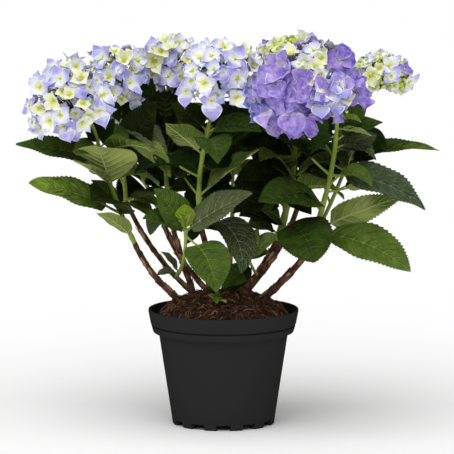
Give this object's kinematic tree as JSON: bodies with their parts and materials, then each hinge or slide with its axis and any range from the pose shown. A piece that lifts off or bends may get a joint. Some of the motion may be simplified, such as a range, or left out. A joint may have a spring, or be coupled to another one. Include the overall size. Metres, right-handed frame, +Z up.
{
  "type": "potted hydrangea shrub",
  "caption": "Mophead hydrangea shrub in bloom, with woody canes, broad toothed leaves and round lilac-blue flower heads, in a black nursery pot with soil.",
  "frame": {"origin": "on the floor under the pot's axis, which is within 3 mm of the middle of the whole plant's box", "axes": "+Z up along the pot's axis; +X to the right and +Y away from someone who looks at the shrub's front"},
  "size_m": [0.537, 0.3849, 0.5021],
  "materials": {
    "pot": "moulded, matte",
    "soil": "fibrous peat",
    "bark": "thin peeling bark",
    "foliage": "veined leaf, slightly glossy",
    "blossom": "soft sepals, cream to lilac-blue"
  },
  "bodies": {
    "root": {"pot": "pot", "soil": "soil", "cane_left_low": "bark", "cane_left": "bark", "cane_left_middle": "bark", "cane_centre": "bark", "cane_right_middle": "bark", "cane_right": "bark", "cane_back_left": "bark", "cane_back_middle": "bark", "cane_back_right": "bark", "stub_right_middle": "bark", "foliage_left_low": "foliage", "foliage_left": "foliage", "foliage_left_middle": "foliage", "foliage_centre": "foliage", "foliage_right_middle": "foliage", "foliage_right": "foliage", "foliage_right_side": "foliage", "foliage_front_bud": "foliage", "foliage_basal_right": "foliage", "foliage_back_left": "foliage", "foliage_back_middle": "foliage", "foliage_back_right": "foliage", "bloom_left_low": "blossom", "bloom_left": "blossom", "bloom_left_middle": "blossom", "bloom_centre": "blossom", "bloom_right_middle": "blossom", "bloom_right": "blossom", "bloom_right_side": "blossom", "bloom_back_left": "blossom", "bloom_back_right": "blossom"}
  },
  "joints": []
}
